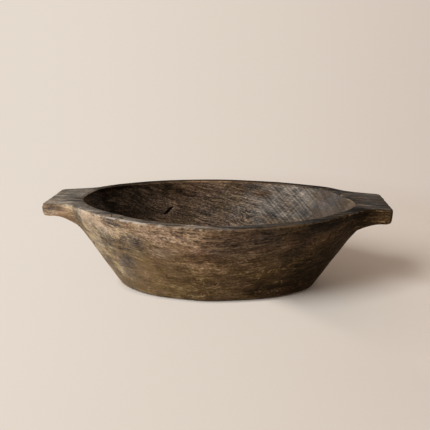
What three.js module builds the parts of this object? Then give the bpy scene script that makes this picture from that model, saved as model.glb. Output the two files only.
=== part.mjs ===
// A carved wooden dough bowl: a boat-shaped hull hollowed from one block, with a grip left
// standing at each end, on four felt pads.
// Millimetres, +Z up, length along X, origin on the ground under the middle of the base.
import * as THREE from "three";

// Plan of the block, seen from above
const overallLength = 508;
const bellyWidth = 294;
const tipSetback = 6.5; // from a grip's end to the point where the two belly arcs would cross
const prowRadius = 35; // rounds the hull's ends under the grips
const gripWidth = 96;
const gripFillet = 60; // hollow curve between belly and grip
const gripCorner = 6;

// Height of the block, and its base
const bodyHeight = 134;
const rimDip = 3.8; // the rim sinks by this much in the middle of its length
const baseLength = 304;
const baseWidth = 164;
const baseFullness = 2.2; // 2 is an ellipse, and more is fuller at the quarters
const baseEdgeRadius = 5;

// Grips, seen from the side
const gripThickness = 21;
const gripRootDepth = 18; // how far the underside sweeps down to meet the hull
const gripSweep = 2.4; // a higher power keeps the underside level for longer
const gripEdgeRadius = 5;

// Hollow
const rimWidth = 19;
const hollowEndRadius = 72;
const floorThickness = 20;
const floorFillet = 58; // from the corner of wall and floor to where the scoop leaves each
const mostScoop = 0.9; // share of the wall and of the floor that the scoop may take up
const rimOuterRadius = 3;
const rimInnerRadius = 2.5;

// Felt pads under the base
const padDiameter = 25;
const padThickness = 2;
const padMargin = 12; // from the edge of the base to a pad

// Fineness of the faceted surface
const facetLength = 13;
const facetTurn = Math.PI / 8;
const shortestRun = 0.1; // a run of an outline below this is left out
const baseEdgeSteps = 3;
const wallSteps = 4;
const undersideSteps = 6;
const gripEdgeSteps = 3;
const rimEdgeSteps = 3;
const rimSteps = 2;
const hollowWallSteps = 3;
const scoopSteps = 7;
const padSides = 32;

const { lerp, smoothstep } = THREE.MathUtils;
const quarterTurn = Math.PI / 2;
const halfLength = overallLength / 2;
const halfWidth = bellyWidth / 2;
const halfGrip = gripWidth / 2;

// Each belly side is one arc through the two tips, with its centre across the middle line.
const tip = halfLength - tipSetback;
const bellyRadius = (tip ** 2 + halfWidth ** 2) / bellyWidth;
const bellyCentre = new THREE.Vector2(0, halfWidth - bellyRadius);

// Outlines below are the quarter with x and y positive, from the X axis round to the Y axis.

// The distance from the middle out to a circle, along a direction.
function reachOfArc(direction, centre, radius) {
  const nearest = direction.dot(centre);
  return nearest + Math.sqrt(radius ** 2 - centre.lengthSq() + nearest ** 2);
}

// Two belly arcs, set in from the hull's top edge, that meet in a rounded tip.
function almond(inset, tipRadius) {
  const sideRadius = bellyRadius - inset;
  const endRadius = Math.min(tipRadius, halfWidth - inset);
  const tipX = Math.sqrt((sideRadius - endRadius) ** 2 - bellyCentre.y ** 2);
  const tipCentre = new THREE.Vector2(tipX, 0);
  const meet = tipCentre.clone().sub(bellyCentre).setLength(sideRadius).add(bellyCentre);
  return (direction) => {
    const onTip = direction.cross(meet) > 0;
    return onTip
      ? reachOfArc(direction, tipCentre, endRadius)
      : reachOfArc(direction, bellyCentre, sideRadius);
  };
}

const hullReach = almond(0, prowRadius);
const hollowReach = almond(rimWidth, hollowEndRadius);
const baseReach = (direction) => {
  const along = direction.x / (baseLength / 2);
  const across = direction.y / (baseWidth / 2);
  return (along ** baseFullness + across ** baseFullness) ** (-1 / baseFullness);
};

// The hollow curve between grip and belly, limited by the length of the grip's side.
const sideEnd = halfLength - gripCorner;
const gripRise = halfGrip - bellyCentre.y;
const roomForFillet =
  (sideEnd ** 2 + gripRise ** 2 - bellyRadius ** 2) / (2 * (halfWidth - halfGrip));
const fillet = Math.min(gripFillet, roomForFillet);
const filletX = Math.sqrt((bellyRadius + fillet) ** 2 - (gripRise + fillet) ** 2);
const filletMeet = Math.atan2(gripRise + fillet, filletX);

function arc(x, y, radius, from, to, clockwise = false) {
  return new THREE.EllipseCurve(x, y, radius, radius, from, to, clockwise);
}

function line(x1, y1, x2, y2) {
  return new THREE.LineCurve(new THREE.Vector2(x1, y1), new THREE.Vector2(x2, y2));
}

// The rim seen from above: grip end, rounded corner, grip side, hollow curve, belly.
const rimOutline = [
  line(halfLength, 0, halfLength, halfGrip - gripCorner),
  arc(sideEnd, halfGrip - gripCorner, gripCorner, 0, quarterTurn),
  line(sideEnd, halfGrip, filletX, halfGrip),
  arc(filletX, halfGrip + fillet, fillet, -quarterTurn, filletMeet - Math.PI, true),
  arc(0, bellyCentre.y, bellyRadius, filletMeet, quarterTurn),
];

// Points along an outline, closer together on tight arcs.
function facetPoints(outline) {
  const points = [outline[0].getPoint(0)];
  for (const curve of outline.filter((each) => each.getLength() > shortestRun)) {
    const turned = curve.isEllipseCurve ? Math.abs(curve.aEndAngle - curve.aStartAngle) : 0;
    const steps = Math.ceil(Math.max(curve.getLength() / facetLength, turned / facetTurn));
    for (let step = 1; step <= steps; step += 1) {
      points.push(curve.getPoint(step / steps));
    }
  }
  return points;
}

const gripEdge = Math.min(gripEdgeRadius, gripThickness / 2 - rimOuterRadius);

// A grip stands fully clear of the hull from the end of its hollow curve outwards.
const gripStart = new THREE.Vector2(filletX, halfGrip);
const fullGrip = gripStart.length() - hullReach(gripStart.clone().normalize());

// Half of the vertical section in the direction of one rim point, as distance out and height
// above the base: from the middle of the underside, round the rim, to the middle of the floor.
function section(rimPoint) {
  const direction = rimPoint.clone().normalize();
  const rim = rimPoint.length();
  const hull = hullReach(direction);
  const base = baseReach(direction);
  const grip = smoothstep(rim - hull, 0, fullGrip);
  const top = bodyHeight - rimDip * Math.max(0, 1 - (rimPoint.x / tip) ** 2) ** 2;

  // The wall is straight from the base's edge and runs into the rounded rim, so the sharp edge
  // that it would have at the top lies a little outside the rim.
  const lean = Math.atan2(hull - base, top);
  const sharpEdge = rimOuterRadius * ((1 + Math.sin(lean)) / Math.cos(lean) - 1);
  const wallAt = (edge, height) => lerp(base, edge + sharpEdge, height / top);

  // Outer surface: the straight wall, drawn out to the rim where a grip stands clear of it
  const outer = (height, sweep, inset) => {
    const drawnOut = lerp(wallAt(rim, height), rim - inset, grip);
    return new THREE.Vector2(lerp(wallAt(hull, height), drawnOut, sweep), height);
  };
  const points = [new THREE.Vector2(0, 0)];

  // Base edge, an arc that runs from the flat base into the wall
  const wallAngle = quarterTurn - lean;
  const baseFlat = base - baseEdgeRadius * Math.tan(wallAngle / 2);
  for (let step = 0; step <= baseEdgeSteps; step += 1) {
    const turn = (wallAngle * step) / baseEdgeSteps;
    const out = baseFlat + baseEdgeRadius * Math.sin(turn);
    points.push(new THREE.Vector2(out, baseEdgeRadius * (1 - Math.cos(turn))));
  }

  // Wall, swept underside of the grip, and the grip's rounded lower edge
  const wallStart = points.at(-1).y;
  const rootHeight = top - gripThickness - gripRootDepth;
  for (let step = 1; step <= wallSteps; step += 1) {
    points.push(outer(lerp(wallStart, rootHeight, step / wallSteps), 0, 0));
  }
  for (let step = 1; step <= undersideSteps; step += 1) {
    const sweep = step / undersideSteps;
    const depth = gripThickness + gripRootDepth * (1 - sweep) ** gripSweep;
    points.push(outer(top - depth, sweep, gripEdge));
  }
  for (let step = 1; step <= gripEdgeSteps; step += 1) {
    const turn = (quarterTurn * step) / gripEdgeSteps;
    const rise = gripEdge * (1 - Math.cos(turn));
    const inset = gripEdge * (1 - Math.sin(turn));
    points.push(outer(top - gripThickness + rise, 1, inset));
  }

  // Rounded outer edge of the rim, its flat top, and its rounded inner edge
  const edgeStart = lerp(-lean, 0, grip);
  for (let step = 0; step <= rimEdgeSteps; step += 1) {
    const turn = lerp(edgeStart, quarterTurn, step / rimEdgeSteps);
    const out = rim - rimOuterRadius * (1 - Math.cos(turn));
    points.push(new THREE.Vector2(out, top - rimOuterRadius * (1 - Math.sin(turn))));
  }
  const hollow = hollowReach(direction);
  const hollowAt = (height) => hollow - (top - height) * Math.tan(lean);
  const rimEdge = points.at(-1).x;
  for (let step = 1; step <= rimSteps; step += 1) {
    const out = lerp(rimEdge, hollow + rimInnerRadius, step / rimSteps);
    points.push(new THREE.Vector2(out, top));
  }
  for (let step = 1; step <= rimEdgeSteps; step += 1) {
    const turn = (quarterTurn * step) / rimEdgeSteps;
    const height = top - rimInnerRadius * (1 - Math.cos(turn));
    const out = hollowAt(height) + rimInnerRadius * (1 - Math.sin(turn));
    points.push(new THREE.Vector2(out, height));
  }

  // Wall of the hollow, parallel to the outer wall, and the scoop into the floor
  const corner = new THREE.Vector2(hollowAt(floorThickness), floorThickness);
  const rimFoot = points.at(-1).clone();
  const scoop = Math.min(floorFillet, corner.x * mostScoop, rimFoot.distanceTo(corner) * mostScoop);
  const scoopStart = rimFoot.clone().sub(corner).setLength(scoop).add(corner);
  for (let step = 1; step <= hollowWallSteps; step += 1) {
    points.push(rimFoot.clone().lerp(scoopStart, step / hollowWallSteps));
  }
  const scoopEnd = new THREE.Vector2(corner.x - scoop, floorThickness);
  const scoopCurve = new THREE.QuadraticBezierCurve(scoopStart, corner, scoopEnd);
  points.push(...scoopCurve.getPoints(scoopSteps).slice(1));
  points.push(new THREE.Vector2(0, floorThickness));
  return points;
}

// The spokes of a quarter and their mirror images, once round.
function allRound(quarter) {
  const flip = (spokes, x, y) =>
    spokes.toReversed().map(({ direction, points }) => ({
      direction: direction.clone().multiply(new THREE.Vector2(x, y)),
      points,
    }));
  const backHalf = [...quarter, ...flip(quarter.slice(0, -1), -1, 1)];
  return [...backHalf, ...flip(backHalf.slice(1, -1), 1, -1)];
}

// A closed skin over the sections in the direction of every point of the rim.
function carvedBody() {
  const quarter = facetPoints(rimOutline).map((rimPoint) => ({
    direction: rimPoint.clone().normalize(),
    points: section(rimPoint),
  }));
  const spokes = allRound(quarter);
  const underside = spokes[0].points[0];
  const floor = spokes[0].points.at(-1);
  const rings = spokes[0].points.length - 2;
  const positions = [0, 0, underside.y];
  for (const { direction, points } of spokes) {
    for (const point of points.slice(1, -1)) {
      positions.push(direction.x * point.x, direction.y * point.x, point.y);
    }
  }
  positions.push(0, 0, floor.y);
  const lastVertex = positions.length / 3 - 1;
  const vertex = (spoke, ring) => 1 + (spoke % spokes.length) * rings + ring;
  const triangles = [];
  for (let spoke = 0; spoke < spokes.length; spoke += 1) {
    triangles.push(0, vertex(spoke + 1, 0), vertex(spoke, 0));
    for (let ring = 0; ring < rings - 1; ring += 1) {
      const a = vertex(spoke, ring);
      const b = vertex(spoke + 1, ring);
      const c = vertex(spoke + 1, ring + 1);
      const d = vertex(spoke, ring + 1);
      triangles.push(a, b, c, a, c, d);
    }
    triangles.push(vertex(spoke, rings - 1), vertex(spoke + 1, rings - 1), lastVertex);
  }
  const geometry = new THREE.BufferGeometry();
  geometry.setAttribute("position", new THREE.Float32BufferAttribute(positions, 3));
  geometry.setIndex(triangles);
  geometry.computeVertexNormals();
  return geometry;
}

const bowl = new THREE.Group();

const darkWood = new THREE.MeshStandardMaterial({ color: "#58473a", roughness: 0.72, metalness: 0 });
const body = new THREE.Mesh(carvedBody(), darkWood);
body.name = "bowl_body";
body.position.z = padThickness;
bowl.add(body);

// One pad under each quarter of the base, on an oval set in from the base's edge
const padInset = padMargin + padDiameter / 2;
const padX = (baseLength / 2 - padInset) * Math.SQRT1_2;
const padY = (baseWidth / 2 - padInset) * Math.SQRT1_2;
for (const [sideName, x] of [["left", -padX], ["right", padX]]) {
  for (const [faceName, y] of [["front", -padY], ["back", padY]]) {
    const felt = new THREE.MeshStandardMaterial({ color: "#4b4038", roughness: 1, metalness: 0 });
    const disc = new THREE.CylinderGeometry(padDiameter / 2, padDiameter / 2, padThickness, padSides);
    const pad = new THREE.Mesh(disc, felt);
    pad.name = `felt_pad_${faceName}_${sideName}`;
    pad.rotation.x = quarterTurn;
    pad.position.set(x, y, padThickness / 2);
    bowl.add(pad);
  }
}

export default bowl;
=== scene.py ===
import math

import bpy
import numpy as np
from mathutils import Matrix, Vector, noise


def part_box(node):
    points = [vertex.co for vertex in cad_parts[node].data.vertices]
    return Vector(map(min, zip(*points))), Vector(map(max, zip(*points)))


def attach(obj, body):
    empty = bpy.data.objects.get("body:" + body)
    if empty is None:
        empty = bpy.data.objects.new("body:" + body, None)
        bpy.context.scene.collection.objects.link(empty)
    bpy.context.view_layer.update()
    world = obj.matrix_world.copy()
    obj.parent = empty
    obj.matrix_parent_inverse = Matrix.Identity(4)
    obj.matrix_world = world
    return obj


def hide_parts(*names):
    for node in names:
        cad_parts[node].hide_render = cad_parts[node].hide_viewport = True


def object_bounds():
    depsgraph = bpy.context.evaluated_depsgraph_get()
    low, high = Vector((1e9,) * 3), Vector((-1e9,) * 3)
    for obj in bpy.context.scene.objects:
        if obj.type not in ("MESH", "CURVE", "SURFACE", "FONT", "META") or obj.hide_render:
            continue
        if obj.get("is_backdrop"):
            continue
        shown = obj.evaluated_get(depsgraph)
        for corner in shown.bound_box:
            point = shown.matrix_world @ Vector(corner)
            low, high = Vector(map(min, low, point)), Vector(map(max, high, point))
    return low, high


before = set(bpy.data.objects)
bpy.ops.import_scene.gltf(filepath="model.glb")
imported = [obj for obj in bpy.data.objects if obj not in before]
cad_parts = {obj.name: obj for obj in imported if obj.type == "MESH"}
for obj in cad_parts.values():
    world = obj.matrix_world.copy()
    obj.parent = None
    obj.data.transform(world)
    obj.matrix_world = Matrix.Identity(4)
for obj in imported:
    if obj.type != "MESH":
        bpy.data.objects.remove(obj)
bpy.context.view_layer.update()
print("frame loaded")


# small helpers

def pick(piece):
    bpy.ops.object.select_all(action="DESELECT")
    piece.select_set(True)
    bpy.context.view_layer.objects.active = piece


def finishWith(piece, kind, **settings):
    pick(piece)
    modifier = piece.modifiers.new(kind.lower(), kind)
    for name, value in settings.items():
        setattr(modifier, name, value)
    bpy.ops.object.modifier_apply(modifier=modifier.name)


def readPoints(piece):
    flat = np.empty(len(piece.data.vertices) * 3, np.float32)
    piece.data.vertices.foreach_get("co", flat)
    return flat.reshape(-1, 3).astype(float) * 1000  # millimetres


def writePoints(piece, points):
    piece.data.vertices.foreach_set("co", (points / 1000).astype(np.float32).ravel())
    piece.data.update()


def readNormals(piece):
    flat = np.empty(len(piece.data.vertices) * 3, np.float32)
    piece.data.vertex_normals.foreach_get("vector", flat)
    return flat.reshape(-1, 3).astype(float)


def ease(value, low, high):  # 0 up to low, 1 from high on
    t = np.clip((value - low) / (high - low), 0, 1)
    return t * t * (3 - 2 * t)


def span(value, start, full, fading, end):  # rises from 0 to 1, then falls again
    return ease(value, start, full) * (1 - ease(value, fading, end))


def hump(value, middle, reach):  # 1 in the middle, falling away on both sides
    return np.exp(-((value - middle) / reach) ** 2)


def lumps(points, size, seed):
    shift = Vector((seed * 17.3, seed * 5.1, seed * 9.7))
    return np.array([noise.noise(Vector(p) + shift) for p in points / np.array(size)])


def scallops(points, size, seed):  # 0 in the middle of a cut, rising to its ridges
    shift = Vector((seed * 13.7, seed * 3.9, seed * 7.1))
    return np.array([noise.voronoi(Vector(p) + shift)[0][0] for p in points / np.array(size)])


def keepMask(piece, name, values):
    layer = piece.data.attributes.new(name, "FLOAT", "POINT")
    layer.data.foreach_set("value", np.clip(values, 0, 1).astype(np.float32))


# shader maths on sockets

class Wire:
    def __init__(self, tree, socket=None):
        self.tree = tree
        self.socket = socket

    def node(self, kind, settings=None, values=None, out=0):
        made = self.tree.nodes.new(kind)
        for name, value in (settings or {}).items():
            if name == "stops":
                ramp = made.color_ramp
                while len(ramp.elements) < len(value):
                    ramp.elements.new(1.0)
                for element, (place, colour) in zip(ramp.elements, value):
                    element.position = place
                    element.color = colour
            else:
                setattr(made, name, value)
        for name, value in (values or {}).items():
            if isinstance(value, Wire):
                self.tree.links.new(value.socket, made.inputs[name])
            else:
                made.inputs[name].default_value = value
        return Wire(self.tree, made.outputs[out])

    def maths(self, operation, first, second):
        return self.node("ShaderNodeMath", {"operation": operation}, {0: first, 1: second})

    def __add__(self, other):
        return self.maths("ADD", self, other)

    def __radd__(self, other):
        return self.maths("ADD", other, self)

    def __sub__(self, other):
        return self.maths("SUBTRACT", self, other)

    def __rsub__(self, other):
        return self.maths("SUBTRACT", other, self)

    def __mul__(self, other):
        return self.maths("MULTIPLY", self, other)

    def __truediv__(self, other):
        return self.maths("DIVIDE", self, other)

    def __pow__(self, other):
        return self.maths("POWER", self, other)

    def __abs__(self):
        return self.node("ShaderNodeMath", {"operation": "ABSOLUTE"}, {0: self})


def newFinish(name):
    material = bpy.data.materials.new(name)
    material.use_nodes = True
    tree = material.node_tree
    shader = next(n for n in tree.nodes if n.type == "BSDF_PRINCIPLED")
    here = Wire(tree).node("ShaderNodeTexCoord", out="Object")
    return material, shader, here


def stretched(here, scale):
    return here.node("ShaderNodeVectorMath", {"operation": "MULTIPLY"}, {0: here, 1: scale})


def dot(first, second):
    return first.node("ShaderNodeVectorMath", {"operation": "DOT_PRODUCT"}, {0: first, 1: second}, "Value")


def axisOf(here, axis):
    return here.node("ShaderNodeSeparateXYZ", None, {0: here}, axis)


def cloud(here, perMetre, detail, roughness, out="Fac"):  # noise, with about this many lumps per metre
    return here.node("ShaderNodeTexNoise", None, {"Vector": stretched(here, perMetre), "Scale": 1.0,
                                                  "Detail": detail, "Roughness": roughness}, out)


def ranged(value, low, high):  # 0 at low, 1 at high
    return value.node("ShaderNodeMapRange", {"interpolation_type": "SMOOTHSTEP"},
                      {"Value": value, "From Min": low, "From Max": high})


def mixed(factor, first, second, how="MIX"):
    wire = factor if isinstance(factor, Wire) else (first if isinstance(first, Wire) else second)
    return wire.node("ShaderNodeMix", {"data_type": "RGBA", "blend_type": how, "clamp_factor": True},
                     {0: factor, 6: first, 7: second}, 2)


def bumped(height, distance):
    return height.node("ShaderNodeBump", None,
                       {"Strength": 0.6, "Distance": distance, "Height": height}, "Normal")


def mask(here, name):
    return here.node("ShaderNodeAttribute", {"attribute_name": name}, None, "Fac")


def plugIn(wire, shader, name):
    wire.tree.links.new(wire.socket, shader.inputs[name])


# the carved body: a copy of the CAD solid, made finer and then worked over by hand

body = {
    "longestEdge": 3.4,        # all sizes here are in mm, and longer edges are split
    "gridSpan": 56,            # faces along the base and the floor
    "bellyHalf": 147.0,        # half width of the hull at the rim
    "hullTip": 247.5,          # where the two belly arcs meet
    "rimTop": 136.0,
    "rimDip": 3.8,             # the rim dips this much between the ends
    "leftEndIn": 4.0,          # the hollow's left end stops short
    "leftEndSteeper": 8.0,     # and drops away steeply
    "rightEndOut": 2.0,        # and its right end is cut at a slant, with a point to the front
    "rightEndIn": 9.0,
    "fullerNearRight": 5.0,    # and it isn't quite even along the sides
    "fullerNearLeft": 4.5,
    "fullerFarLeft": 7.0,
    "farRimLift": 1.5,         # the rim stands a little higher in places
    "nearRimLift": 1.7,
    "farRightLift": 1.0,
    "fullerShoulder": 3.0,     # the hull is fuller behind the right end of the hollow
    "leftGripThinner": 3.0,
    "rightGripThicker": 2.0,
    "gripDroop": 1.5,
    "baseCutBack": 7.0,        # at the right front, and less at the left front
    "baseCutLeft": 3.0,
    "gripHalf": 48.0,
    "gripSkew": (4.5, 4.0),    # left and right: the far corner sticks out further than the near one
    "waves": 0.8,              # slow waves left by hand carving: their height, then their size
    "waveSize": (95, 60, 60),
    "ripples": 0.3,
    "rippleSize": (34, 22, 22),
    "outerCuts": 0.55,         # the tool's cuts
    "outerCutSize": (64, 24, 24),
    "innerCuts": 0.8,
    "innerCutSize": (46, 19, 19),
    "edgeNicks": 0.8,
    "nickSize": (18, 10, 10),
    "checkFrom": (-94.5, 86, 84),          # the drying check in the hollow
    "checkTo": (-80, 95.5, 93.2),
    "checkFacing": (0.32, -0.855, 0.41),   # the wall's normal there
    "checkBend": 1.0,
    "checkDepth": 4.0,
    "checkWidth": 2.1,
    "checkReach": 7.0,         # the mesh is finer this near to it
}


def choose(piece, kind, wanted):
    for each in ("vertices", "edges", "polygons"):
        layer = getattr(piece.data, each)
        layer.foreach_set("select", wanted if each == kind else np.zeros(len(layer), bool))


def edgeLengths(piece):
    ends = np.empty(len(piece.data.edges) * 2, np.int32)
    piece.data.edges.foreach_get("vertices", ends)
    ends = ends.reshape(-1, 2)
    places = readPoints(piece)
    return np.linalg.norm(places[ends[:, 0]] - places[ends[:, 1]], axis=1), ends


print("carving the body")
carved = bpy.data.objects.new("carved_bowl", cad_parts["bowl_body"].data.copy())
bpy.context.scene.collection.objects.link(carved)
carved.data.materials.clear()
pick(carved)
bpy.ops.mesh.customdata_custom_splitnormals_clear()
bpy.ops.object.mode_set(mode="EDIT")
bpy.ops.mesh.select_all(action="SELECT")
bpy.ops.mesh.remove_doubles(threshold=0.00001)
bpy.ops.object.mode_set(mode="OBJECT")

# open the fans in the middle of the base and of the floor, round the rest, then fill both with a grid
places = readPoints(carved)
choose(carved, "vertices", np.hypot(places[:, 0], places[:, 1]) < 0.5)
bpy.ops.object.mode_set(mode="EDIT")
bpy.ops.mesh.select_mode(type="VERT")
bpy.ops.mesh.delete(type="VERT")
bpy.ops.mesh.select_all(action="SELECT")
bpy.ops.mesh.tris_convert_to_quads(face_threshold=math.radians(70), shape_threshold=math.radians(180))
bpy.ops.object.mode_set(mode="OBJECT")
finishWith(carved, "SUBSURF", levels=1, render_levels=1)
for filled in ("base", "floor"):
    uses = np.zeros(len(carved.data.edges), int)
    for face in carved.data.polygons:
        for key in face.loop_indices:
            uses[carved.data.loops[key].edge_index] += 1
    heights = readPoints(carved)[:, 2]
    low = heights[edgeLengths(carved)[1]].max(1) < 8
    choose(carved, "edges", (uses == 1) & (low if filled == "base" else ~low))
    bpy.ops.object.mode_set(mode="EDIT")
    bpy.ops.mesh.select_mode(type="EDGE")
    bpy.ops.mesh.fill_grid(span=body["gridSpan"])
    bpy.ops.object.mode_set(mode="OBJECT")
while True:
    lengths = edgeLengths(carved)[0]
    if lengths.max() <= body["longestEdge"] * 1.5:
        break
    choose(carved, "edges", lengths > body["longestEdge"])
    bpy.ops.object.mode_set(mode="EDIT")
    bpy.ops.mesh.select_mode(type="EDGE")
    bpy.ops.mesh.subdivide(number_cuts=1)
    bpy.ops.object.mode_set(mode="OBJECT")


def fromCheck(places):  # distance from the drying check, and how far along it
    first, last = np.array(body["checkFrom"], float), np.array(body["checkTo"], float)
    facing = np.array(body["checkFacing"])
    run = last - first
    sideways = np.cross(facing, run) / np.linalg.norm(run)
    share = np.clip((places - first) @ run / (run @ run), 0, 1)
    bend = body["checkBend"] * np.sin(share * 5 + 0.5)
    off = places - first - share[:, None] * run
    deep = off @ facing
    off = off - deep[:, None] * facing + bend[:, None] * sideways
    return np.hypot(np.linalg.norm(off, axis=1), np.clip(np.abs(deep) - 10, 0, None)), share


# finer still round the drying check in the hollow
for finer in range(2):
    middles = np.array([face.center for face in carved.data.polygons]) * 1000
    choose(carved, "polygons", fromCheck(middles)[0] < body["checkReach"])
    bpy.ops.object.mode_set(mode="EDIT")
    bpy.ops.mesh.select_mode(type="FACE")
    bpy.ops.mesh.subdivide(number_cuts=1)
    bpy.ops.object.mode_set(mode="OBJECT")
bpy.ops.object.mode_set(mode="EDIT")
bpy.ops.mesh.select_all(action="SELECT")
bpy.ops.mesh.normals_make_consistent(inside=False)
bpy.ops.object.mode_set(mode="OBJECT")
finishWith(carved, "SMOOTH", factor=0.4, iterations=2)
bpy.ops.object.shade_smooth()
print("made finer:", len(carved.data.polygons), "faces")

points = readPoints(carved)
normals = readNormals(carved)
x, y, z = points.T
upward = normals[:, 2]

# where each point lies: in the hollow, on the rim and grip tops, on an edge, or outside
# x, y, z and depths are in mm here and below, and upward goes from -1 to 1
arcRadius = (body["hullTip"] ** 2 + body["bellyHalf"] ** 2) / (2 * body["bellyHalf"])
inFromHull = arcRadius - np.hypot(x, np.abs(y) + arcRadius - body["bellyHalf"])
rimHere = body["rimTop"] - body["rimDip"] * np.clip(1 - (x / body["hullTip"]) ** 2, 0, 1) ** 2
drop = rimHere - z
outwards = (normals[:, 0] * x + normals[:, 1] * y * 2) > 0
facingUp = ease(upward, 0.02, 0.25)
inside = ~outwards * ease(drop, 0.2, 2.0) + ease(upward, 0.3, 0.6) * ease(drop, 4, 8)
inside = np.clip(inside, 0, 1) * facingUp
onTop = ease(upward, 0.75, 0.97) * (1 - ease(drop, 1.0, 4.0))
under = ease(-upward, 0.9, 0.99) * ease(6 - z, 0, 2)
gripOut = ease(np.abs(x), 196, 232)
edgeBand = span(upward, -0.25, 0.25, 0.86, 0.98) * (1 - ease(drop, 3.0, 5.0))
outerEdge = edgeBand * outwards
innerEdge = edgeBand * ~outwards
lowGripEdge = span(-upward, -0.05, 0.25, 0.8, 0.97) * gripOut * ease(z, 96, 104)

# the hollow isn't quite even
moving = facingUp * ease(inFromHull, 2, 19)
fullerNear = body["fullerNearRight"] * span(x, 70, 130, 190, 206)
fullerNear = fullerNear + body["fullerNearLeft"] * span(-x, -20, 40, 90, 130)
fullerFar = body["fullerFarLeft"] * span(-x, 125, 165, 192, 204)
slanted = body["rightEndOut"] * hump(y, -27, 10) - body["rightEndIn"] * hump(y, 22, 26)
blunt = body["leftEndIn"] * ease(-x, 150, 200) * (1 - ease(y, 0, 40))
x = x + moving * (blunt + slanted * ease(x, 140, 195))
y = y + moving * (fullerFar * ease(y, 10, 40) - fullerNear * ease(-y, 10, 40))

# its left end is steep
steeper = body["leftEndSteeper"] * span(drop, 0.3, 7, 14, 50) * ease(-x, 110, 185) * facingUp
level = np.hypot(normals[:, 0], normals[:, 1]) + 0.05
x = x - steeper * normals[:, 0] / level
y = y - steeper * normals[:, 1] / level

# the rim stands higher in places, and one shoulder is fuller
lift = np.where(y > 0, body["farRimLift"], body["nearRimLift"] * (1 - ease(x, -50, 50)))
lift = lift * np.clip(1 - (x / body["hullTip"]) ** 2, 0, 1) * ease(np.abs(y), 10, 60)
lift = lift + body["farRightLift"] * hump(x, 182, 26) * ease(y, 15, 50)
y = y + body["fullerShoulder"] * hump(x, 180, 26) * ease(y, 25, 65) * ease(z, 70, 125)
z = z + lift * ease(z, 60, 130)
rimHere = rimHere + lift

# the base is cut back a little in front
cutBack = body["baseCutBack"] * span(x, -50, 80, 120, 180)
cutBack = cutBack + body["baseCutLeft"] * span(-x, 0, 50, 120, 160)
y = y + cutBack * (1 - ease(z, 8, 70)) * ease(-y, 10, 50)

# one grip is thinner than the other, and both droop a little and are skewed
below = 1 - ease(z, 122, 134)
z = z + gripOut * below * np.where(x < 0, body["leftGripThinner"], -body["rightGripThicker"])
z = z - body["gripDroop"] * ease(np.abs(x), 214, 254)
skew = np.where(x < 0, *body["gripSkew"]) * (y + body["gripHalf"]) / (2 * body["gripHalf"])
x = x + np.sign(x) * gripOut * skew
points = np.column_stack([x, y, z])

# unevenness, tool cuts, nicks and the drying check
work = body["waves"] * lumps(points, body["waveSize"], 1)
work = work + body["ripples"] * lumps(points, body["rippleSize"], 2)
outer = (1 - facingUp) * (1 - under)
cuts = body["outerCuts"] * outer * (scallops(points, body["outerCutSize"], 3) ** 2 - 0.2)
cuts = cuts + body["innerCuts"] * inside * (scallops(points, body["innerCutSize"], 4) ** 2 - 0.2)
nicked = ease(lumps(points, body["nickSize"], 5), 0.1, 0.55)
work = (work + cuts) * (1 - under) - body["edgeNicks"] * nicked * (outerEdge + 0.6 * innerEdge)
away, share = fromCheck(points)
slit = hump(away, 0, body["checkWidth"] * (0.35 + 0.65 * np.sin(np.pi * share))) * inside
work = work - body["checkDepth"] * slit
points = points + normals * work[:, None]
writePoints(carved, points)

# where the finish changes, kept on the mesh for the material
front = ease(-y, 0, 60)
back = ease(y, 30, 80)
outside = 1 - inside
down = rimHere - points[:, 2]
crest = span(upward, 0.3, 0.55, 0.93, 0.99) * (1 - ease(down, 1.1, 2.4)) * outwards
innerCrest = span(upward, 0.2, 0.5, 0.8, 0.95) * (1 - ease(down, 0.8, 2.2)) * ~outwards
keepMask(carved, "flatFace", ease(np.abs(upward), 0.8, 0.97))
keepMask(carved, "hollow", inside)
keepMask(carved, "dryingCheck", slit)

# the pale scuff along the near left edge, part wear and part painted highlight, and the other edges, worn and
# partly painted highlight
nearWearAndHighlight = 0.2 * ease(-x, 5, 40) + 0.7 * ease(-x, 45, 65)
keepMask(carved, "scuff", crest * front * nearWearAndHighlight * (1 - ease(-x, 158, 172)))
# pale inner edges at both ends of the hollow: a painted highlight on their rounding, partly wear
paleEnds = ease(x, 178, 198) * (1 - ease(y, 0, 22)) + ease(-x, 60, 110) * (1 - ease(y, 20, 50))
keepMask(carved, "paleEdge", innerCrest * paleEnds)
# honey edges: wear along the rims, and a painted highlight along the left grip's lower edge
farGold = (0.2 + 0.45 * span(x, -70, -35, 5, 40)) * back * (1 - ease(x, 120, 165))
rubbed = (innerCrest + onTop * ease(inFromHull, 13, 16.5)) * farGold
rubbed = rubbed + 0.3 * crest * front * span(x, 20, 50, 100, 120)
keepMask(carved, "rubbedEdge", rubbed * ease(x, -150, -100) + lowGripEdge * (x < 0))

# the scraped end of the hollow, and the facet past a slanting line there
pastScraping = ease(x - 164 + 0.29 * (132 - z), -2, 2)
scraped = 0.15 + 0.85 * ease(x, 45, 90) * ease(y, 0, 40)
keepMask(carved, "scored", inside * scraped * (1 - pastScraping))
keepMask(carved, "endFacet", inside * pastScraping)

# golden low down, partly the wood and partly painted warm bounce light from the floor, golden wood at the
# right end, calm on the left, and the worn root of the left grip
onSide = outside * (1 - onTop)
golden = onSide * np.maximum(1 - ease(z, 60, 104), 0.8 * ease(x, 140, 185))
calmer = golden * ease(-x, 10, 70)
wornRoot = onSide * hump(x, -177, 13) * ease(z, 98, 110) * front
mottle = 0.5 - 0.25 * calmer - 0.15 * inside * (1 - ease(x, 0, 60)) - 0.35 * wornRoot
mottle = mottle + 0.35 * outside * ease(x, 0, 60)
keepMask(carved, "golden", golden)
keepMask(carved, "calm", calmer)
keepMask(carved, "wornRoot", wornRoot)
keepMask(carved, "mottle", mottle)

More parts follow.
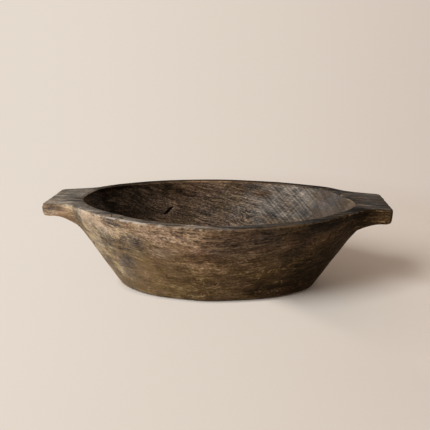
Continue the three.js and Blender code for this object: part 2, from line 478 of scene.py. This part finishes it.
# knots that the grain runs round: middle in mm, reach, height
knots = [
    (-106, 87, 95, 11, 0.35),
    (45, 93, 71, 11, 0.6),
    (151, -86, 99, 12, 0.7),
    (-60, -120, 70, 14, 0.4),
    (95, 118, 80, 16, 0.8),
    (-150, 95, 90, 13, 0.7),
]
swell = np.zeros(len(points))
for *middle, reach, height in knots:
    far = ((points - middle) * (0.6, 1, 1) / reach) ** 2
    swell = swell + height * np.exp(-far.sum(1))
keepMask(carved, "knot", swell)

# patches of wear and stain, and some of painted shade, sheen and highlight: middle in mm, half length, half
# size across,
# then how much lighter, greyer and rosier the wood is there
patches = [
    # upper front, left of the middle
    (-130, -106, 114, 30, 22, 0.20, 0.05, 0.5),
    (-140, -108, 130, 20, 5, 0.11, 0.0, 0.2),
    (-76, -134, 118, 46, 17, 0.10, 0.1, 0.6),
    (-79, -122, 103, 14, 9, 0.12, 0.0, 0.0),
    (-25, -141, 118, 42, 18, 0.13, 0.0, 0.7),
    (-22, -143, 129, 16, 6, 0.08, 0.0, 0.2),
    (-22, -134, 105, 13, 30, 0.10, 0.1, 0.2),
    # upper front, right of the middle
    (2, -138, 112, 14, 14, -0.06, 0.0, 0.0),
    (22, -141, 124, 14, 10, -0.06, 0.0, 0.0),
    (20, -128, 98, 22, 16, 0.0, 0.2, 0.0),
    (48, -132, 114, 56, 20, -0.11, 0.2, 0.3),
    (76, -130, 120, 18, 16, -0.07, 0.25, 0.0),
    (92, -130, 129, 26, 5, -0.14, 0.0, 0.0),
    (109, -111, 100, 14, 6, 0.10, 0.0, 0.0),
    (106, -100, 82, 22, 18, -0.11, 0.2, 0.0),
    (133, -97, 100, 14, 12, 0.09, 0.0, 0.0),
    (140, -108, 122, 44, 18, -0.14, 0.35, 0.0),
    (151, -86, 99, 12, 9, 0.12, 0.0, 0.0),
    # painted shadow under the rim at the right front
    (176, -84, 126, 36, 8, -0.16, 0.15, 0.0),
    # lower front, with golden wood right of the middle
    (-112, -104, 86, 14, 14, 0.0, 0.4, 0.0),
    (-118, -62, 14, 14, 10, 0.08, 0.0, 0.0),
    (-85, -75, 28, 46, 30, 0.06, 0.0, 0.0),
    (-70, -118, 88, 24, 12, 0.0, 0.25, 0.0),
    (-60, -88, 24, 20, 14, 0.05, 0.0, 0.0),
    (-50, -122, 92, 30, 14, 0.04, 0.15, 0.0),
    (-30, -114, 68, 38, 14, 0.13, 0.0, 0.3),
    (-2, -92, 18, 14, 10, -0.07, 0.0, 0.0),
    (50, -114, 74, 30, 16, 0.13, 0.0, 0.0),
    (54, -104, 56, 16, 14, 0.08, 0.0, 0.0),
    (54, -90, 26, 50, 13, -0.05, 0.0, 0.0),
    (60, -114, 90, 60, 16, 0.0, 0.15, 0.0),
    (108, -89, 60, 10, 8, 0.08, 0.0, 0.0),
    # dark blotches on the left
    (-151, -89, 104, 12, 17, -0.15, 0.5, 0.0),
    (-122, -115, 126, 9, 6, -0.12, 0.3, 0.0),
    (-101, -114, 102, 16, 14, -0.13, 0.6, 0.0),
    (-121, -84, 62, 22, 13, -0.06, 0.6, 0.0),
    (-121, -72, 40, 16, 14, -0.14, 0.4, 0.0),
    # darker low on the right: partly stain, partly painted shade on the side turned from the light
    (190, -60, 70, 70, 60, -0.18, 0.05, 0.0),
    (130, -60, 24, 64, 44, -0.23, 0.0, 0.0),
    (90, -92, 46, 26, 22, -0.03, 0.0, 0.0),
    (78, -79, 16, 38, 11, -0.20, 0.0, 0.0),
    # golden left end, palest at the root of the grip
    (-185, -50, 100, 34, 40, 0.16, 0.1, 0.0),
    (-158, -50, 58, 34, 34, 0.18, 0.15, 0.0),
    (-158, -62, 80, 12, 10, 0.10, 0.0, 0.0),
    (-140, -78, 72, 12, 12, 0.11, 0.0, 0.0),
    (-138, -42, 22, 34, 30, 0.18, 0.15, 0.0),
    (-170, -84, 112, 26, 34, 0.20, 0.1, 0.1),
    (-172, -86, 125, 14, 9, 0.29, 0.0, 0.1),
    (-181, -74, 119, 12, 11, 0.22, 0.0, 0.0),
    # the left grip; the grey on its top is painted sheen
    (-192, -70, 128, 6, 10, -0.03, 0.7, 0.0),
    (-197, -63, 124, 7, 13, -0.14, 0.25, 0.0),
    (-208, -56, 131, 9, 8, 0.22, 0.0, 0.4),
    # painted highlight on the grip's near top edge, its grey painted sheen
    (-220, -52, 131, 10, 6, 0.04, 0.3, 0.0),
    (-228, -49, 128, 7, 7, -0.14, 0.3, 0.0),
    (-238, -48, 119, 18, 8, 0.18, 0.1, 0.6),
    (-246, -48, 130, 4, 4, 0.12, 0.0, 0.0),
    (-206, 25, 136, 16, 34, 0.30, 0.35, 0.0),
    (-208, 55, 136, 18, 16, 0.10, 0.2, 0.0),
    # the right grip; the grey on its top is painted sheen
    (190, -60, 136, 16, 12, 0.04, 0.4, 0.0),
    (210, -60, 124, 26, 18, -0.19, -0.1, 0.0),
    (213, -30, 136, 16, 10, 0.15, 0.3, 0.0),
    (244, -48, 122, 12, 10, 0.03, 0.0, 0.0),
    # painted shadow on the grip's end corner, which is turned from the light
    (255, -44, 124, 4, 9, -0.3, 0.0, 0.0),
    # scraped grey end of the hollow, on the right, its grey partly painted sheen
    (120, 88, 112, 60, 50, 0.06, 0.95, 0.2),
    (60, 98, 92, 40, 26, 0.12, 0.65, 0.2),
    (50, 115, 116, 18, 8, -0.08, 0.0, 0.0),
    (55, 118, 126, 13, 7, -0.10, 0.3, 0.0),
    (80, 108, 117, 36, 5, -0.12, -0.6, 0.0),
    (88, 91, 89, 14, 10, -0.08, 0.0, 0.0),
    (101, 83, 84, 30, 13, -0.09, 0.0, 0.0),
    (112, 81, 88, 9, 5, 0.15, 0.0, 0.0),
    (121, 90, 111, 14, 13, 0.07, 0.0, 0.0),
    (122, 97, 130, 20, 6, 0.08, 0.0, 0.0),
    (146, 82, 128, 20, 7, 0.14, 0.2, 0.0),
    (146, 66, 104, 12, 10, -0.07, 0.0, 0.0),
    (150, 70, 116, 12, 9, 0.08, 0.3, 0.0),
    (152, 58, 96, 18, 16, -0.08, 0.0, 0.0),
    (185, 30, 123, 34, 42, -0.02, 0.7, 0.7),
    (197, -12, 130, 6, 10, 0.12, 0.3, 0.0),
    # middle of the hollow
    (20, 110, 98, 14, 12, 0.06, 0.0, 0.0),
    (0, 100, 88, 60, 50, -0.02, 0.3, 0.4),
    (-17, 110, 98, 14, 20, -0.06, 0.0, 0.0),
    (-25, 112, 122, 40, 8, -0.07, 0.0, 0.0),
    (-57, 113, 112, 20, 14, -0.07, 0.0, 0.0),
    (-75, 92, 95, 40, 25, 0.03, 0.0, 0.0),
    (-80, 90, 100, 60, 50, -0.10, 0.1, 0.2),
    (-86, 90, 86, 16, 10, 0.06, 0.0, 0.0),
    # the hollow's left end: painted shade where its walls turn from the light, among darker and paler wood
    (-172, 36, 108, 80, 90, -0.38, 0.4, 0.0),
    (-100, 104, 126, 90, 14, -0.18, 0.0, 0.0),
    (-110, 88, 104, 16, 14, 0.08, 0.0, 0.0),
    (-112, 100, 128, 16, 8, 0.07, 0.0, 0.0),
    (-140, 68, 98, 24, 26, -0.08, 0.0, 0.0),
    (-150, 72, 117, 16, 12, -0.20, 0.0, 0.0),
    (-176, 35, 100, 14, 16, 0.10, 0.0, 0.0),
    (-177, 41, 109, 16, 16, 0.04, 0.0, 0.0),
    (-186, 38, 119, 16, 16, 0.15, 0.1, 0.0),
    # the back
    (80, 137, 118, 44, 14, 0.13, 0.1, 0.5),
    (-50, 140, 112, 40, 16, 0.11, 0.0, 0.5),
    (-140, 92, 84, 24, 18, -0.15, 0.4, 0.0),
    (150, 84, 60, 24, 18, -0.13, 0.4, 0.0),
    (20, 110, 45, 44, 18, 0.08, 0.0, 0.0),
]
ragged = 1 + 0.6 * lumps(points, (20, 13, 13), 7) + 0.4 * lumps(points, (9, 5, 5), 8)


def fromPatch(middle, halfLong, halfAcross):  # squared distance, 1 at the patch's ragged edge
    off = (points - middle) / (halfLong, halfAcross, halfAcross)
    return (off ** 2).sum(1) * ragged


# broad tones: both ends, part painted light: the outside paler at its lit left end and darker at its right
# end (partly darker stain there), the hollow a little darker at its shaded left end; the rim, the grip tops,
# painted shade under the rim, the wood round the check
lighter = np.where(inside > 0.5, 0.03, -0.15) * np.clip(x / 150, -1, 1)
nearRim = onTop * front
farRim = onTop * back * (1 - ease(np.abs(x), 165, 195))
farDark = 0.26 - 0.2 * ease(x, 70, 120) + 0.25 * (1 - ease(inFromHull, 10, 15))
lighter = lighter - 0.08 * onTop * (1 - gripOut) - farRim * farDark
lighter = lighter + onTop * gripOut * np.where(x < 0, 0.135, 0.05)
lighter = lighter + nearRim * (0.08 * hump(x, 12, 60) + 0.12 * span(x, 90, 125, 135, 165))
lighter = lighter - nearRim * span(-x, 20, 60, 160, 190) * (0.09 - 0.03 * ease(-x, 95, 130))
# painted shade under the rim at the right front
paintedShadeUnderRim = (1 - facingUp) * front * span(down, 2, 4, 7, 14) * span(x, 105, 150, 205, 220)
eyeRing = np.hypot((points[:, 0] + 104) / 25, (points[:, 2] - 93) / 12)
lighter = lighter - 0.22 * paintedShadeUnderRim + 0.12 * inside * (y > 20) * hump(eyeRing, 1, 0.22)
# grey on the rim and grip tops is painted sheen, the pale backdrop seen in them, with less on the far rim
greyer = onTop * (0.5 + 0.25 * gripOut + 0.25 * front) - 0.4 * farRim
rosier = np.zeros(len(points))
for *middle, halfLong, halfAcross, moreLight, moreGrey, moreRose in patches:
    strength = np.exp(-fromPatch(middle, halfLong, halfAcross) ** 1.2)
    lighter = lighter + moreLight * strength
    greyer = greyer + moreGrey * strength
    rosier = rosier + moreRose * strength
keepMask(carved, "shade", lighter + 0.5)
keepMask(carved, "greyness", greyer)
keepMask(carved, "rosiness", rosier)

# redder wood: middle in mm, half length, half size across, how much
russets = [
    (-28, -128, 92, 36, 34, 0.8),
    (-50, 112, 120, 60, 16, 0.8),
    (120, -60, 14, 40, 14, 0.9),
    (242, -50, 118, 16, 12, 0.8),
    (172, 54, 118, 9, 14, 0.9),
]
redder = np.zeros(len(points))
for *middle, halfLong, halfAcross, much in russets:
    redder = redder + much * np.exp(-fromPatch(middle, halfLong, halfAcross))
keepMask(carved, "redness", redder)

# ash in the grain, and how strong the grain is
ashen = outside * (0.75 * ease(-x, 80, 150) + 0.4 * rosier) + inside * (0.14 + 0.1 * ease(x, 0, 80))
keepMask(carved, "ashen", ashen)
outerGrain = 0.4 - 0.2 * (1 - ease(z, 50, 90)) * ease(-x, -60, 40) + 0.08 * ease(x, 90, 160)
outerGrain = (outerGrain + np.where(x < 0, 0.2, 0.12) * onTop) * (1 - 0.55 * wornRoot)
innerGrain = 0.5 + 0.1 * ease(x, -20, 80)
keepMask(carved, "grain", inside * innerGrain + outside * outerGrain)
print("body has", len(carved.data.polygons), "faces")


# weathered wood: layers of the log seen on the walls, fibres on level faces, stain and wear, with painted
# shade, sheen and highlight

wood = {
    "tones": [
        (0.00, (0.006, 0.0035, 0.0014, 1)),
        (0.20, (0.026, 0.0152, 0.0070, 1)),
        (0.40, (0.090, 0.0555, 0.0295, 1)),
        (0.60, (0.240, 0.161, 0.090, 1)),
        (0.80, (0.520, 0.398, 0.255, 1)),
        (1.00, (0.760, 0.630, 0.440, 1)),
    ],
    "olive": (0.99, 1.01, 0.84, 1),     # six tints that the tones are multiplied by
    "rust": (1.03, 0.985, 1.04, 1),
    "rose": (1.0, 1.0, 1.06, 1),
    "russet": (1.06, 0.975, 1.0, 1),
    "cool": (0.98, 1.01, 1.03, 1),
    "warm": (1.02, 0.99, 0.97, 1),
    "peach": (0.48, 0.335, 0.205, 1),   # four colours of worn wood; honey, pale and tan also paint highlights along edges
    "honey": (0.40, 0.235, 0.125, 1),
    "pale": (0.54, 0.495, 0.445, 1),
    "tan": (0.33, 0.255, 0.175, 1),
    "sheen": (1.0, 0.75, 0.5, 1),
    "gloss": 0.07,
    "pith": (0.0, 0.02, -0.30),   # the middle of the log, below the bowl, in metres
    "wander": 0.026,              # how far the layers stray
    "knotHeight": 0.022,
    "innerSlope": 0.26,           # the layers slope along the hollow
    "innerLength": 0.6,           # and the grain looks longer there
    "middle": 0.53,               # tone of plain wood
    "palest": 0.87,               # tone of the most worn wood, before its grain
    "rootLift": 0.13,             # the root of the left grip is paler still
    "toneScale": 0.8,             # leaves room for paler flecks
    "relief": 0.0011,             # metres, as the three marks below
    "ridge": ((0.208, -0.022, 0.1365), (0.227, -0.034, 0.1365), 0.0018),    # from, to, half width
    "crack": ((-0.136, -0.093, 0.135), (-0.132, -0.112, 0.135), 0.0013),
    "pit": ((-0.119, -0.112, 0.135), (-0.116, -0.116, 0.135), 0.0024),
}


def weatheredWood():
    material, shader, here = newFinish("weathered_wood")
    hollow = mask(here, "hollow")
    stray = cloud(here, (10, 14, 14), 4.0, 0.55, "Color")
    bent = here.node("ShaderNodeVectorMath", {"operation": "MULTIPLY_ADD"},
                     {0: stray, 1: (wood["wander"],) * 3, 2: here})
    fromPith = here.node("ShaderNodeVectorMath", {"operation": "SUBTRACT"}, {0: bent, 1: wood["pith"]})
    acrossLog = stretched(fromPith, (0, 1, 1))
    layer = here.node("ShaderNodeVectorMath", {"operation": "LENGTH"}, {0: acrossLog}, "Value")
    alongX = axisOf(bent, "X")
    layer = layer + mask(here, "knot") * wood["knotHeight"] + alongX * hollow * wood["innerSlope"]
    longer = alongX * (1.0 - hollow * (1.0 - wood["innerLength"]))
    layered = here.node("ShaderNodeCombineXYZ", None, {"X": longer, "Y": axisOf(bent, "Y"), "Z": layer})
    flat = mask(here, "flatFace")

    def figure(long, wide, thin, detail, roughness):  # layers on the walls, fibres on level faces
        onWall = cloud(layered, (long, wide, thin), detail, roughness)
        onFlat = cloud(bent, (long * 0.25, thin * 0.35, thin * 0.35), detail, roughness)
        return ranged(onWall + (onFlat - onWall) * flat, 0.33, 0.67)

    def blots(perMetre, detail, roughness=0.6):
        return ranged(cloud(here, perMetre, detail, roughness), 0.33, 0.67)

    streak = figure(55, 70, 620, 3.0, 0.65)
    broad = figure(12, 18, 140, 3.0, 0.6)
    patchy = blots((24, 34, 34), 5.0, 0.66)
    uneven = blots((9, 13, 13), 2.0)
    speckle = blots((260, 480, 480), 2.0)
    broken = blots((60, 100, 100), 4.0)
    veil = cloud(bent, (24, 44, 44), 3.0, 0.6)
    vein = ranged(abs(veil - 0.5), 0.026, 0.0) * broken

    # strokes of the scraper: bands one way, fine lines the other, and ribs on the facet
    def comb(across, lengthwise, thin, long):
        turned = here.node("ShaderNodeCombineXYZ", None, {"X": dot(here, across), "Y": dot(here, lengthwise)})
        return cloud(turned, (thin, long, 1), 2.0, 0.55)

    rightUp, rightDown = (0.7, 0, 0.7), (0.7, 0, -0.7)
    rows = comb(rightUp, rightDown, 205, 8)
    bands = ranged(rows, 0.38, 0.64)
    furrow = ranged(abs(rows - 0.47), 0.03, 0.0)
    lines = ranged(comb(rightDown, rightUp, 400, 20), 0.38, 0.64)
    ribs = ranged(comb((0.9, 0, 0.43), (0, 1, 0), 180, 12), 0.38, 0.64)
    scored = mask(here, "scored")
    facet = mask(here, "endFacet")

    # the tone: wear and stain with painted light and shade, then grain, mottling, specks, veins and strokes
    plain = 1.0 - scored * 0.8 - facet * 0.75
    golden = mask(here, "golden")
    greyness = mask(here, "greyness")
    rosy = mask(here, "rosiness")
    ground = wood["middle"] + (mask(here, "shade") - 0.5) * (0.5 + patchy)
    ground = ground.maths("MINIMUM", ground, wood["palest"]) + mask(here, "wornRoot") * wood["rootLift"]
    flake = ranged(cloud(here, (120, 210, 210), 5.0, 0.7), 0.44, 0.56)
    grain = mask(here, "grain")
    calm = 1.0 - mask(here, "calm") * 0.5
    fibre = grain * (0.3 + uneven * 0.3) * (1.0 - facet * 0.8) * (1.0 + hollow * 0.25 - scored * 0.5)
    tone = ground + (streak - 0.5) * fibre
    tone = tone + (broad - 0.5) * grain * 0.27 * plain * (1.0 - flat * 0.4)
    tone = tone + (patchy - 0.5) * mask(here, "mottle") * 0.34 * plain * (1.0 - flat * 0.5)
    tone = tone + (flake - 0.5) * rosy * (1.0 - hollow) * 0.26
    tone = tone + (speckle - 0.5) * (0.18 + rosy * 0.12 - flat * 0.06 + hollow * 0.08) * plain * calm
    tone = tone + vein * (0.1 + golden * 0.22) * (1.0 - facet) * calm
    planed = greyness * (1.0 - hollow) * (1.0 - flat)
    tone = tone + (bands - 0.5) * (scored * 0.15 + planed * 0.12) - (furrow - 0.25) * scored * 0.11
    tone = tone + (lines - 0.5) * scored * 0.10 + (ribs - 0.5) * facet * 0.08
    colour = here.node("ShaderNodeValToRGB", {"stops": wood["tones"]},
                       {"Fac": tone * wood["toneScale"]}, "Color")

    # the hue: olive or rusty (olive low down, partly painted warm bounce light from the floor), grey (dusty
    # wood, and painted sheen on the tops and the scraped end), rosy and russet
    hue = blots((17, 25, 25), 3.0) * 0.9 + 0.2 - golden * 0.35 + hollow * 0.3
    colour = mixed(1.0, colour, mixed(hue, wood["olive"], wood["rust"]), "MULTIPLY")
    level = here.node("ShaderNodeRGBToBW", None, {0: colour})
    warmer = ranged(level, 0.03, 0.2) * 0.12
    dustAndSheen = here.node("ShaderNodeCombineColor", None,
                      {0: level * (warmer + 1.08), 1: level, 2: level * (0.92 - warmer)})
    ash = mask(here, "ashen") * ranged(tone - ground, 0.06, -0.14)
    colour = mixed(greyness * (0.6 + patchy * 0.6) + ash, colour, dustAndSheen)
    colour = mixed(rosy, colour, mixed(1.0, colour, wood["rose"], "MULTIPLY"))
    colour = mixed(mask(here, "redness"), colour, mixed(1.0, colour, wood["russet"], "MULTIPLY"))
    tint = mixed(blots((150, 330, 330), 2.0), wood["warm"], wood["cool"])
    colour = mixed(1.0, colour, tint, "MULTIPLY")
    stroke = ranged(cloud(bent, (22, 160, 330), 2.0, 0.55), 0.52, 0.66)
    colour = mixed(stroke * rosy * (1.0 - hollow) * 0.6, colour, wood["peach"])

    # a pale line along the ridge of the right grip top, worn and a painted highlight; a crack across the rim
    # and a pit in it, painted dark as their shade; then the edges, worn and partly painted highlight, and the
    # drying check, filled with painted shade
    def scratch(first, last, width):
        run = Vector(last) - Vector(first)
        off = here.node("ShaderNodeVectorMath", {"operation": "SUBTRACT"}, {0: here, 1: first})
        share = here.node("ShaderNodeClamp", None, {0: dot(off, run / run.length_squared)})
        near = here.node("ShaderNodeVectorMath", {"operation": "SCALE"}, {0: run, "Scale": share})
        away = here.node("ShaderNodeVectorMath", {"operation": "DISTANCE"}, {0: off, 1: near}, "Value")
        return ranged(away, width, width * 0.3)

    darkest = wood["tones"][0][1]
    colour = mixed(scratch(*wood["ridge"]) * (0.35 + broken * 0.5), colour, wood["tan"])
    colour = mixed((scratch(*wood["crack"]) + scratch(*wood["pit"])) * 0.7, colour, darkest)
    colour = mixed(mask(here, "scuff") * ranged(broken, 0.15, 0.75) * 0.7, colour, wood["pale"])
    colour = mixed(mask(here, "rubbedEdge") * (0.3 + broken * 0.6), colour, wood["honey"])
    colour = mixed(mask(here, "paleEdge") * (0.3 + broken * 0.6), colour, wood["tan"])
    colour = mixed(mask(here, "dryingCheck") * 0.95, colour, darkest)
    plugIn(colour, shader, "Base Color")

    plugIn(0.75 + tone * 0.15, shader, "Roughness")
    relief = streak * (0.15 + hollow * 0.2) + broad * 0.3 + patchy * 0.4 + speckle * 0.15
    relief = relief + (bands + lines) * scored * 0.2
    plugIn(bumped(relief, wood["relief"]), shader, "Normal")
    shader.inputs["Specular IOR Level"].default_value = wood["gloss"]
    shader.inputs["Specular Tint"].default_value = wood["sheen"]
    return material


carved.data.materials.append(weatheredWood())
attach(carved, "root")
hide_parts("bowl_body")
print("wood finished")


# felt pads under the base

pad = {
    "sides": 40,
    "edgeRound": 0.5,          # mm
    "insets": (3.0, 3.9),      # rings of faces on the flat sides
    "flatArea": 0.0002,        # square metres, above any face of the rounded edge
    "fuzz": 0.12,
    "fuzzSize": (1.7, 1.7, 1.2),
    "relief": 0.0003,          # metres
    "colour": (0.10, 0.075, 0.055, 1),
    "lint": (0.19, 0.15, 0.115, 1),
}


def feltFinish():
    material, shader, here = newFinish("wool_felt")
    tuft = cloud(here, (900, 900, 900), 4.0, 0.65)
    strand = cloud(here, (600, 1900, 900), 2.0, 0.6)
    lint = ranged(tuft * 0.6 + strand * 0.4, 0.35, 0.7)
    plugIn(mixed(lint, pad["colour"], pad["lint"]), shader, "Base Color")
    plugIn(bumped(lint, pad["relief"]), shader, "Normal")
    shader.inputs["Roughness"].default_value = 0.95
    shader.inputs["Sheen Weight"].default_value = 0.3
    return material


def modelPad(low, high):
    middle = (low + high) / 2
    bpy.ops.object.select_all(action="DESELECT")
    bpy.ops.mesh.primitive_cylinder_add(vertices=pad["sides"], radius=(high.x - low.x) / 2,
                                        depth=high.z - low.z, location=middle, end_fill_type="NGON")
    piece = bpy.context.object
    bpy.ops.object.transform_apply(location=True, rotation=True, scale=True)
    bpy.ops.object.mode_set(mode="EDIT")
    bpy.ops.mesh.select_mode(type="FACE")
    bpy.ops.mesh.select_all(action="SELECT")
    bpy.ops.mesh.bevel(offset=pad["edgeRound"] / 1000, segments=3, affect="EDGES")
    bpy.ops.mesh.select_all(action="DESELECT")
    bpy.ops.object.mode_set(mode="OBJECT")
    for face in piece.data.polygons:
        face.select = abs(face.normal.z) > 0.99 and face.area > pad["flatArea"]
    bpy.ops.object.mode_set(mode="EDIT")
    for inset in pad["insets"]:
        bpy.ops.mesh.inset(thickness=inset / 1000)
    bpy.ops.mesh.poke()
    bpy.ops.object.mode_set(mode="OBJECT")
    shaped = readPoints(piece)
    around = readNormals(piece)
    level = np.abs(around[:, 2])
    rough = lumps(shaped, pad["fuzzSize"], 6) * (1 - level)
    inwards = pad["fuzz"] * (0.5 + 0.5 * rough) * (level < 0.9)
    writePoints(piece, shaped - around * inwards[:, None])
    bpy.ops.object.shade_smooth()
    return piece


padNodes = ["felt_pad_front_left", "felt_pad_front_right", "felt_pad_back_left", "felt_pad_back_right"]
felt = feltFinish()
firstLow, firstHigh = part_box(padNodes[0])
firstPad = modelPad(firstLow, firstHigh)
for node in padNodes:
    low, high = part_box(node)
    piece = firstPad
    if node != padNodes[0]:
        piece = bpy.data.objects.new(node, firstPad.data.copy())
        bpy.context.scene.collection.objects.link(piece)
        shift = ((low + high) - (firstLow + firstHigh)) / 2
        writePoints(piece, readPoints(piece) + np.array(shift) * 1000)
    piece.name = node.replace("felt_pad", "felt_disc")
    piece.data.materials.clear()
    piece.data.materials.append(felt)
    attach(piece, "root")
    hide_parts(node)
print("felt pads finished")


# the pale floor, swept up into a backdrop behind

stageSet = {
    "width": 9.0,              # metres
    "front": -2.2,
    "back": 2.4,
    "height": 3.2,
    "sweep": 1.2,
    "slack": 0.01,
    "left": (0.81, 0.745, 0.675, 1),          # where light falls on it; paler on the left, painted light from the lamp on that side
    "right": (0.72, 0.635, 0.56, 1),
    "shownLeft": (0.785, 0.70, 0.615, 1),     # where it shows as an even tone; paler on the left, painted light from the lamp there
    "shownRight": (0.635, 0.54, 0.465, 1),
    "baseHalf": (0.152, 0.082),               # the bowl's base, which the bright floor runs up to
}


def paleFinish():
    material, shader, here = newFinish("pale_stage")
    tree = material.node_tree
    shader.inputs["Roughness"].default_value = 0.95
    shader.inputs["Specular IOR Level"].default_value = 0.0
    place = axisOf(here, "X")
    depth = axisOf(here, "Y")
    # paler towards the left: painted light from the lamp on that side
    plugIn(mixed(place + 0.5, stageSet["left"], stageSet["right"]), shader, "Base Color")

    # far from the bowl the stage shows as an even tone, brighter on the left as painted light from the lamp
    # on that side
    across = place / depth.maths("MAXIMUM", depth * 0.4 + 0.4, 0.3)
    fade = here.node("ShaderNodeClamp", None, {0: across * 0.5 + 0.5}) ** 1.4
    tone = mixed(fade, stageSet["shownLeft"], stageSet["shownRight"])
    glow = here.node("ShaderNodeEmission", None, {"Color": tone, "Strength": 1.0})
    far = here.node("ShaderNodeVectorMath", {"operation": "LENGTH"}, {0: here}, "Value")

    # and so does the floor on the lit side of the base
    long = abs(place / stageSet["baseHalf"][0])
    half = stageSet["baseHalf"][1] - ranged(place, -0.05, 0.08) * (body["baseCutBack"] / 1000)
    half = half - ranged(place, 0.0, -0.05) * (body["baseCutLeft"] / 1000)
    wide = abs(depth / half)
    litSide = ranged(place * 0.74 + depth * 0.67, 0.05, 0.0)
    clear = ranged(long ** 2.2 + wide ** 2.2, 0.98, 1.16) * litSide * 0.9
    even = far.maths("MAXIMUM", ranged(far, 0.5, 0.95), clear)
    seen = here.node("ShaderNodeLightPath", None, None, "Is Camera Ray")
    glossy = here.node("ShaderNodeLightPath", None, None, "Is Glossy Ray")
    factor = seen.maths("MAXIMUM", seen, glossy) * even
    both = here.node("ShaderNodeMixShader", None, {0: factor, 1: Wire(tree, shader.outputs[0]), 2: glow})
    out = next(n for n in tree.nodes if n.type == "OUTPUT_MATERIAL")
    tree.links.new(both.socket, out.inputs["Surface"])
    return material


def atBack(vertex):
    return vertex.co.y > stageSet["back"] - stageSet["slack"]


print("setting the stage")
bpy.ops.object.select_all(action="DESELECT")
bpy.ops.mesh.primitive_plane_add(size=1, location=(0, (stageSet["front"] + stageSet["back"]) / 2, 0))
stage = bpy.context.object
stage.name = "pale_stage"
stage.scale = (stageSet["width"], stageSet["back"] - stageSet["front"], 1)
bpy.ops.object.transform_apply(location=True, rotation=True, scale=True)
for edge in stage.data.edges:
    edge.select = all(atBack(stage.data.vertices[v]) for v in edge.vertices)
for face in stage.data.polygons:
    face.select = False
for vertex in stage.data.vertices:
    vertex.select = atBack(vertex)
bpy.ops.object.mode_set(mode="EDIT")
bpy.ops.mesh.select_mode(type="EDGE")
bpy.ops.mesh.extrude_region_move(TRANSFORM_OT_translate={"value": (0, 0, stageSet["height"])})
bpy.ops.mesh.select_all(action="DESELECT")
bpy.ops.object.mode_set(mode="OBJECT")
for edge in stage.data.edges:
    ends = [stage.data.vertices[v] for v in edge.vertices]
    edge.select = all(atBack(end) and end.co.z < stageSet["slack"] for end in ends)
bpy.ops.object.mode_set(mode="EDIT")
bpy.ops.mesh.bevel(offset=stageSet["sweep"], segments=24, affect="EDGES")
bpy.ops.object.mode_set(mode="OBJECT")
bpy.ops.object.shade_smooth()
stage.data.materials.append(paleFinish())
stage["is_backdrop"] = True


# light and camera

light = {
    "azimuth": 42.0,           # degrees in front of the left side
    "elevation": 40.0,
    "distance": 4.6,           # metres
    "width": 1.7,
    "height": 2.9,
    "power": 206.0,            # watts
    "colour": (0.93, 0.975, 1.0),
    "target": (0, 0, 0.06),
    "ambient": (1.0, 0.85, 0.74, 1),
    "ambientStrength": 0.38,
}

az = math.radians(light["azimuth"])
el = math.radians(light["elevation"])
toLight = Vector((-math.cos(az) * math.cos(el), -math.sin(az) * math.cos(el), math.sin(el)))
bpy.ops.object.light_add(type="AREA", location=Vector(light["target"]) + toLight * light["distance"],
                         rotation=(-toLight).to_track_quat("-Z", "Y").to_euler())
key = bpy.context.object
key.name = "window_light"
key.data.shape = "RECTANGLE"
key.data.size = light["width"]
key.data.size_y = light["height"]
key.data.energy = light["power"]
key.data.color = light["colour"]

world = bpy.data.worlds.new("room")
bpy.context.scene.world = world
world.use_nodes = True
sky = next(n for n in world.node_tree.nodes if n.type == "BACKGROUND")
sky.inputs["Color"].default_value = light["ambient"]
sky.inputs["Strength"].default_value = light["ambientStrength"]

camera = {
    "place": (0.0447, -0.7240, 0.3204),    # metres
    "pitch": 73.71,            # degrees
    "turn": 3.64,
    "lens": 41.02,             # mm
    "sensor": 36.0,
}
bpy.ops.object.camera_add(location=camera["place"],
                          rotation=(math.radians(camera["pitch"]), 0, math.radians(camera["turn"])))
eye = bpy.context.object
eye.data.lens = camera["lens"]
eye.data.sensor_width = camera["sensor"]
bpy.context.scene.camera = eye
bpy.context.scene.view_settings.view_transform = "Standard"

low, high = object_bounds()
print("scene ready")
